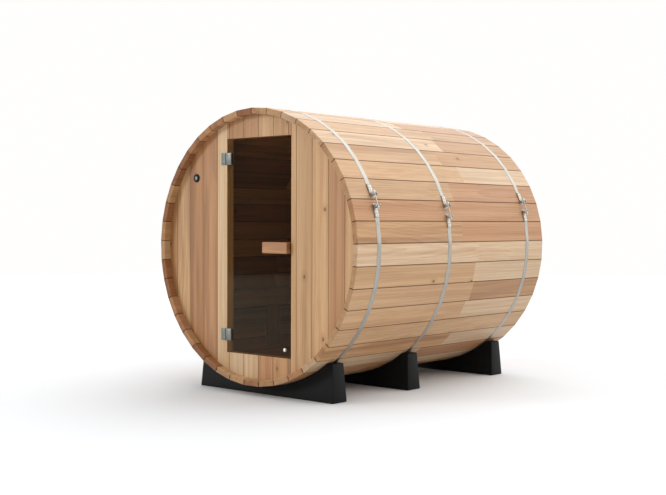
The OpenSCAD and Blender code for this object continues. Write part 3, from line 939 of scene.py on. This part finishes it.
class SAUNA_OT_hinges(bpy.types.Operator):
    """Make the two hinges, each with a leaf on the wall and two plates on the glass"""
    bl_idname = "sauna.hinges"
    bl_label = "Hinges"

    screw_r: FloatProperty(
        name="Screw", description="Radius of a hinge screw head", default=0.0048, unit="LENGTH")
    screw_h: FloatProperty(
        name="Screw height", description="Height of a screw head", default=0.0018, unit="LENGTH")

    def execute(self, context):
        sizes = context.scene.sauna_sizes
        pin = Vector(frame["joints"][0]["pos_m"])
        steel = [material("steel_bead_blasted"), material("steel_zinc_plated")]
        for level in ("upper", "lower"):
            wall, door = f"hinge_{level}_wall", f"hinge_{level}_door"
            for node, body in ((wall, "shell"), (door, "door")):
                piece = Piece(f"steel_{node}", steel, smooth=True)
                low, high = box(node)
                height = high.z - low.z
                for bm in solids_of(node, math.radians(8)):
                    bmesh.ops.bevel(bm, geom=sharp_edges(bm, math.radians(40)), offset=sizes.metal_ease,
                                    segments=2, profile=0.5, affect="EDGES", clamp_overlap=True)
                    piece.add(bm, along=(0, 0, 1), across=(1, 0, 0))
                if node == wall:
                    leaf_x = (low.x + pin.x - 0.008) / 2
                    spots = [(leaf_x, high.z - height * k) for k in (0.18, 0.5, 0.82)]
                    face = high.y - 0.006
                else:
                    plate = (pin.x + 0.0075 + high.x) / 2 + 0.004
                    spots = [(plate + dx, high.z - height * k) for k in (0.2, 0.8) for dx in (-0.012, 0.012)]
                    face = box(wall)[1].y - 0.0063
                for x, z in spots:
                    seat = axes((0, -1, 0), (1, 0, 0), (x, face + 0.0002, z))
                    piece.add(socket_screw(self.screw_r, self.screw_h, seat))
                if node == wall:
                    for z, way in ((high.z, 1), (low.z, -1)):
                        cap = axes((0, 0, way), (1, 0, 0), (pin.x, pin.y, z - way * 0.0015))
                        piece.add(dome(0.0042, 0.0024, cap, 18), material=1)
                piece.place("hinge_steel", body, node)
        return {"FINISHED"}


# ------------------------------------------------------------------ bands and tensioners

# Height above the horizontal of the middle of each tensioner, in degrees
TENSIONER_ANGLES = {"front": 19.2, "middle": 15.2, "rear": 17.8}


class SAUNA_OT_bands(bpy.types.Operator):
    """Make the steel bands, drawn flat on each stave and bent over each joint"""
    bl_idname = "sauna.bands"
    bl_label = "Bands"

    end_angle: FloatProperty(
        name="Band end", description="Angle from a tensioner's middle to the band's end",
        default=math.radians(1.2), subtype="ANGLE", unit="ROTATION")
    steps: IntProperty(name="Steps", description="Steps along the band on each stave", default=8, min=2)

    def execute(self, context):
        sizes = context.scene.sauna_sizes
        barrel = Barrel(sizes)
        for name, degrees in TENSIONER_ANGLES.items():
            node = f"band_{name}"
            low, high = box(node)
            thick = (high.z - low.z) / 2 - barrel.radius
            clear = 0.0003
            rounded = barrel.radius - 0.0001
            start = math.radians(degrees) + self.end_angle
            turn = math.tau - 2 * self.end_angle
            count = self.steps * barrel.count
            edge = sizes.metal_ease * 0.6
            rings = []
            for k in range(count + 1):
                angle = start + turn * k / count
                # Angles here rise from the horizontal, and stave 0 is straight down.
                local = (angle + math.pi / 2 + barrel.step / 2) % barrel.step - barrel.step / 2
                base = min(barrel.outer / math.cos(local), rounded) + clear
                top = base + (thick - clear)
                rings.append([barrel.at(angle, r, y) for r, y in (
                    (base, low.y + edge), (base, high.y - edge), (base + edge, high.y),
                    (top - edge, high.y), (top, high.y - edge), (top, low.y + edge),
                    (top - edge, low.y), (base + edge, low.y))])
            piece = Piece(f"steel_{node}", [material("stainless_brushed")], smooth=True)
            bm = loft(rings)
            piece.add(bm, along=(0, 0, 1), across=(0, 1, 0))
            # The brushing follows the strip, so its length replaces the straight coordinate.
            grain = piece.read["grain"]
            for p, g in zip(piece.points, grain):
                g[0] = math.atan2(p[2] - barrel.axis_z, p[0]) * barrel.radius
                g[2] = 0.0
            piece.place("band_steel", "shell", node)
        return {"FINISHED"}


class SAUNA_OT_tensioners(bpy.types.Operator):
    """Make the tensioners: looped band ends round cross pins, a threaded rod and its nuts"""
    bl_idname = "sauna.tensioners"
    bl_label = "Tensioners"

    ear_angle: FloatProperty(
        name="Ear", description="Angle from the middle to each ear", default=math.radians(2.1),
        subtype="ANGLE", unit="ROTATION")
    plate_angle: FloatProperty(
        name="Plate end", description="Angle from the middle to the far end of each plate",
        default=math.radians(6.9), subtype="ANGLE", unit="ROTATION")
    plate_t: FloatProperty(
        name="Plate", description="Thickness of a base plate", default=0.004, unit="LENGTH")
    ear_h: FloatProperty(name="Ear height", description="Height of an ear", default=0.032, unit="LENGTH")
    ear_t: FloatProperty(
        name="Ear thickness", description="Thickness of an ear", default=0.011, unit="LENGTH")
    rod_h: FloatProperty(name="Rod height", description="Height of the rod", default=0.019, unit="LENGTH")
    rod_r: FloatProperty(name="Rod", description="Radius of the threaded rod", default=0.004, unit="LENGTH")
    nut_r: FloatProperty(name="Nut", description="Radius of a nut", default=0.0104, unit="LENGTH")
    pin_head: FloatProperty(
        name="Pin head", description="Radius of the head of a cross pin", default=0.0098, unit="LENGTH")
    nut_t: FloatProperty(name="Nut thickness", description="Thickness of a nut", default=0.011, unit="LENGTH")
    rod_end: FloatProperty(name="Rod end", description="Rod beyond a nut", default=0.007, unit="LENGTH")
    pitch: FloatProperty(name="Pitch", description="Pitch of the thread", default=0.0015, unit="LENGTH")

    def execute(self, context):
        sizes = context.scene.sauna_sizes
        barrel = Barrel(sizes)
        for name, degrees in TENSIONER_ANGLES.items():
            node = f"tensioner_{name}"
            low, high = box(node)
            middle = (low.y + high.y) / 2
            width = high.y - low.y
            piece = Piece(
                f"steel_{node}",
                [material("stainless_brushed"), material("steel_zinc_plated"), material("copper_turned")],
                smooth=True)
            band_low, band_high = box(f"band_{name}")
            plate_r = (band_high.z - band_low.z) / 2 + 0.0003
            self.lugs(piece, barrel, math.radians(degrees), middle, width, plate_r, sizes)
            piece.place("tensioner_steel", "shell", node)
        return {"FINISHED"}

    def lugs(self, piece, barrel, angle, middle, width, plate_r, sizes):
        """Both lugs of one tensioner, and the rod between them."""
        out = Vector((math.cos(angle), 0, math.sin(angle)))
        up = Vector((-math.sin(angle), 0, math.cos(angle)))
        axis = Vector((0, middle, barrel.axis_z))
        top_r = plate_r + self.plate_t
        foot_x = top_r * math.cos(self.ear_angle)
        ear_y = top_r * math.sin(self.ear_angle)
        rod_x = foot_x + self.rod_h
        half = width / 2
        for way in (1, -1):
            # Foot: the strap folded back on itself, riveted down
            rings = []
            for k in range(9):
                a = angle + way * (self.ear_angle * 0.72 + (self.plate_angle - self.ear_angle * 0.72) * k / 8)
                rings.append([barrel.at(a, r, middle + y) for r, y in (
                    (plate_r, -half), (plate_r, half), (plate_r + self.plate_t * 0.62, half),
                    (plate_r + self.plate_t * 0.75, half - 0.0012),
                    (plate_r + self.plate_t * 0.75, 0.0012 - half),
                    (plate_r + self.plate_t * 0.62, -half))])
            piece.add(loft(rings), along=up, across=(0, 1, 0))
            # Ear: a loop of strap that rises, passes over the cross pin and comes down
            ear_mid = ear_y + self.ear_t / 2
            loop = []
            for k in range(9):
                a = math.pi * k / 8
                loop.append((self.ear_h - self.ear_t / 2 + self.ear_t / 2 * math.sin(a),
                             -self.ear_t / 2 * math.cos(a)))
            outline = [(0.0, -self.ear_t / 2 - 0.003)] + [(0.004, -self.ear_t / 2)] + loop
            outline += [(0.004, self.ear_t / 2), (0.0, self.ear_t / 2 + 0.004)]
            points = [axis + out * (foot_x + h) + up * (way * (ear_mid + s)) for h, s in outline]
            for side in (-1, 1):
                depth = half - 0.0055
                at = Vector((0, side * half, 0))
                bm = prism([p + at for p in points], (0, -side * depth, 0))
                piece.add(eased(bm, sizes.metal_ease), along=out, across=(0, 1, 0))
            # Cross pin through the loop, which stands out a little at both edges
            pin_r = self.ear_t * 0.52
            proud = 0.004
            pin_end = axis + out * rod_x + up * (way * ear_mid) - Vector((0, half + proud, 0))
            seat = axes((0, 1, 0), out, pin_end)
            span = width + 2 * proud
            head = self.pin_head
            piece.add(lathe([(0, 0), (head * 0.7, 0), (head, 0.002), (head, 0.0038), (pin_r, 0.004),
                             (pin_r, span - 0.004), (head, span - 0.0038), (head, span - 0.002),
                             (head * 0.7, span), (0, span)], seat, 20), material=1)
            # Washer, nut and the rivets of the foot
            face = ear_y + self.ear_t
            seat = axes(up * way, out, axis + out * rod_x + up * (way * face))
            washer = self.nut_r * 1.04
            piece.add(lathe([(0, 0), (washer, 0), (washer, 0.0012), (0, 0.0012)], seat, 24), material=1)
            hexagon = [seat @ Vector((self.nut_r * math.cos(k * math.pi / 3),
                                      self.nut_r * math.sin(k * math.pi / 3), 0.0012)) for k in range(6)]
            piece.add(eased(prism(hexagon, up * (way * (self.nut_t - 0.0012))), 0.0007), material=1)
            for share in (0.55, 0.8):
                a = angle + way * (self.ear_angle + (self.plate_angle - self.ear_angle) * share)
                normal = Vector((math.cos(a), 0, math.sin(a)))
                for y in (-half * 0.45, half * 0.45):
                    seat = axes(normal, (0, 1, 0), barrel.at(a, plate_r + self.plate_t * 0.75, middle + y))
                    piece.add(dome(0.0035, 0.0016, seat, 16), material=1)
            # Rolled end of the foot round a copper pin
            a = angle + way * (self.plate_angle - 0.003)
            roll = self.plate_t * 0.5
            seat = axes((0, 1, 0), out, barrel.at(a, plate_r + roll, middle - half))
            piece.add(lathe([(0, 0), (roll, 0), (roll, width), (0, width)], seat, 16))
            seat = axes((0, 1, 0), out, barrel.at(a, plate_r + roll, middle - half - 0.003))
            span = width + 0.006
            piece.add(lathe([(0, 0), (roll * 0.6, 0), (roll * 0.75, 0.0006), (roll * 0.75, span - 0.0006),
                             (roll * 0.6, span), (0, span)], seat, 14), material=2)
        reach = ear_y + self.ear_t + self.nut_t + self.rod_end
        seat = axes(up, out, axis + out * rod_x - up * reach)
        profile = [(0.0, 0.0), (self.rod_r * 0.8, 0.0)]
        teeth = int(2 * reach / self.pitch) - 1
        for k in range(teeth):
            h = (k + 0.5) * self.pitch
            profile += [(self.rod_r * 0.84, h), (self.rod_r, h + self.pitch / 2)]
        profile += [(self.rod_r * 0.8, 2 * reach), (0.0, 2 * reach)]
        piece.add(lathe(profile, seat, 16), material=1)


# ------------------------------------------------------------------ cradles and port cap

class SAUNA_OT_cradles(bpy.types.Operator):
    """Make the moulded cradles with rounded edges"""
    bl_idname = "sauna.cradles"
    bl_label = "Cradles"

    def execute(self, context):
        sizes = context.scene.sauna_sizes
        barrel = Barrel(sizes)

        def in_saddle(vert):
            """Whether a corner is in the saddle, where the steps are too low for wide rounding."""
            return math.hypot(vert.co.x, vert.co.z - barrel.axis_z) < barrel.radius + 0.012

        for place in ("front", "middle", "rear"):
            node = f"cradle_{place}"
            piece = Piece(f"moulded_{node}", [material("polyethylene_moulded")], smooth=True)
            for bm in solids_of(node, math.radians(0.5)):
                for ease, saddle in ((sizes.plastic_ease, False), (sizes.metal_ease, True)):
                    edges = [e for e in sharp_edges(bm, math.radians(35))
                             if all(in_saddle(v) for v in e.verts) == saddle]
                    bmesh.ops.bevel(bm, geom=edges, offset=ease, segments=1 if saddle else 3,
                                    profile=0.5, affect="EDGES", clamp_overlap=True)
                piece.add(bm)
            piece.place("cradle_plastic", "shell", node)
        return {"FINISHED"}


class SAUNA_OT_port_cap(bpy.types.Operator):
    """Make the round cap on the front wall"""
    bl_idname = "sauna.port_cap"
    bl_label = "Port cap"

    dish_share: FloatProperty(
        name="Dish", description="Radius of the dish as a share of the cap", default=0.6)
    dish_depth: FloatProperty(
        name="Dish depth", description="Depth of the dish", default=0.004, unit="LENGTH")

    def execute(self, context):
        low, high = box("port_cap")
        centre = (low + high) / 2
        radius = (high.z - low.z) / 2
        height = high.y - low.y
        seat = axes((0, -1, 0), (1, 0, 0), (centre.x, high.y, centre.z))
        dish = radius * self.dish_share
        floor = height - self.dish_depth
        piece = Piece("moulded_port_cap", [material("polyethylene_moulded"), material("grey_plastic_moulded"),
                                           material("steel_zinc_plated")], smooth=True)
        piece.add(lathe([(0, 0), (radius, 0), (radius, height * 0.35), (radius * 0.95, height * 0.7),
                         (radius * 0.86, height * 0.93), (radius * 0.78, height), (dish + 0.0015, height),
                         (dish, height - 0.0012), (dish * 0.96, floor), (0, floor)], seat, 48))
        bowl = []
        for k in range(7):
            share = 1 - k / 6
            bowl.append((dish * 0.9 * share, floor + 0.0004 + 0.0022 * share * share))
        piece.add(lathe([(0, floor), (dish * 0.9, floor)] + bowl, seat, 40), material=1)
        screw = axes((0, -1, 0), (1, 0, 0), seat @ Vector((0, 0, floor + 0.0005)))
        piece.add(socket_screw(0.0042, 0.0018, screw), material=2)
        piece.place("port_plastic", "shell", "port_cap")
        return {"FINISHED"}


# ------------------------------------------------------------------ stage

class SAUNA_OT_stage(bpy.types.Operator):
    """Make the pale floor, the soft light and the camera"""
    bl_idname = "sauna.stage"
    bl_label = "Stage"

    def execute(self, context):
        scene = context.scene
        stage = scene.sauna_stage
        floor_size = 17.0
        mesh = bpy.data.meshes.new("stage_floor")
        bm = bmesh.new()
        bmesh.ops.create_circle(bm, cap_ends=True, segments=96, radius=floor_size)
        bm.to_mesh(mesh)
        bm.free()
        mesh.materials.append(material("floor_matt_paint"))
        floor = bpy.data.objects.new("stage_floor", mesh)
        floor.location.z = -0.0005
        scene.collection.objects.link(floor)

        world = bpy.data.worlds.new("studio_room")
        scene.world = world
        world.use_nodes = True
        tree = world.node_tree
        tree.nodes.clear()
        way = add(tree, "ShaderNodeTexCoord").outputs["Generated"]
        up = add(tree, "ShaderNodeSeparateXYZ", links={0: way}).outputs[2]
        level = ranged(tree, up, 0.0, 0.85, stage.horizon, stage.zenith)
        seen = add(tree, "ShaderNodeLightPath").outputs["Is Camera Ray"]
        strength = add(tree, "ShaderNodeMix", {"data_type": "FLOAT", 3: 1.0}, {0: seen, 2: level}).outputs[0]
        light = add(tree, "ShaderNodeBackground", {"Color": (1.0, 0.995, 0.985, 1.0)}, {"Strength": strength})
        add(tree, "ShaderNodeOutputWorld", links={"Surface": light.outputs[0]})

        for name, strength, spread, aim in (
                ("key_softbox", stage.key, stage.key_spread, (0.62, 0.78, -0.30)),
                ("fill_softbox", stage.fill, stage.fill_spread, (-0.75, 0.35, -0.55)),
                ("sky_softbox", stage.sky, stage.sky_spread, (-0.15, -0.75, -0.7))):
            lamp = bpy.data.lights.new(name, "SUN")
            lamp.energy = strength
            lamp.angle = spread
            lamp.color = (1.0, 0.99, 0.97)
            light = bpy.data.objects.new(name, lamp)
            light.rotation_euler = Vector(aim).to_track_quat("-Z", "Y").to_euler()
            scene.collection.objects.link(light)

        camera = bpy.data.objects.new("camera", bpy.data.cameras.new("camera"))
        camera.data.lens = stage.lens
        camera.data.sensor_width = 36.0
        camera.data.clip_end = 200.0
        turn = (Matrix.Rotation(stage.camera_yaw, 4, "Z")
                @ Matrix.Rotation(math.pi / 2 - stage.camera_pitch, 4, "X")
                @ Matrix.Rotation(stage.camera_roll, 4, "Z"))
        camera.matrix_world = Matrix.Translation(stage.camera_at) @ turn
        scene.collection.objects.link(camera)
        scene.camera = camera
        scene.view_settings.view_transform = "Standard"
        return {"FINISHED"}


# ------------------------------------------------------------------ panel and registration

OPERATORS = (
    SAUNA_OT_staves, SAUNA_OT_walls, SAUNA_OT_casings, SAUNA_OT_benches, SAUNA_OT_door,
    SAUNA_OT_handles, SAUNA_OT_catch, SAUNA_OT_hinges, SAUNA_OT_bands, SAUNA_OT_tensioners,
    SAUNA_OT_cradles, SAUNA_OT_port_cap, SAUNA_OT_stage,
)


class SAUNA_PT_panel(bpy.types.Panel):
    """Lists what the add-on can build"""
    bl_idname = "SAUNA_PT_panel"
    bl_label = "Barrel Sauna"
    bl_space_type = "VIEW_3D"
    bl_region_type = "UI"
    bl_category = "Sauna"

    def draw(self, context):
        """Shows a button for each operator, then the sizes, colours and stage."""
        for operator in OPERATORS:
            self.layout.operator(operator.bl_idname)
        for group in (context.scene.sauna_sizes, context.scene.sauna_colours, context.scene.sauna_stage):
            column = self.layout.column()
            for name in group.bl_rna.properties.keys():
                if name not in ("rna_type", "name"):
                    column.prop(group, name)


GROUPS = {"sauna_sizes": SaunaSizes, "sauna_colours": SaunaColours, "sauna_stage": SaunaStage}


def register():
    """Registers every class and hangs the groups of settings on the scene."""
    for group in (*GROUPS.values(), *OPERATORS, SAUNA_PT_panel):
        bpy.utils.register_class(group)
    for name, group in GROUPS.items():
        setattr(bpy.types.Scene, name, PointerProperty(type=group))


def unregister():
    """Takes the settings off the scene and unregisters every class."""
    for name in GROUPS:
        delattr(bpy.types.Scene, name)
    for group in (SAUNA_PT_panel, *reversed(OPERATORS), *reversed(GROUPS.values())):
        bpy.utils.unregister_class(group)


def main():
    """Registers the add-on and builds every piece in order."""
    register()
    for operator in OPERATORS:
        family, name = operator.bl_idname.split(".")
        if getattr(getattr(bpy.ops, family), name)() != {"FINISHED"}:
            raise RuntimeError(f"{operator.bl_idname} did not finish")


if __name__ == "__main__":
    main()
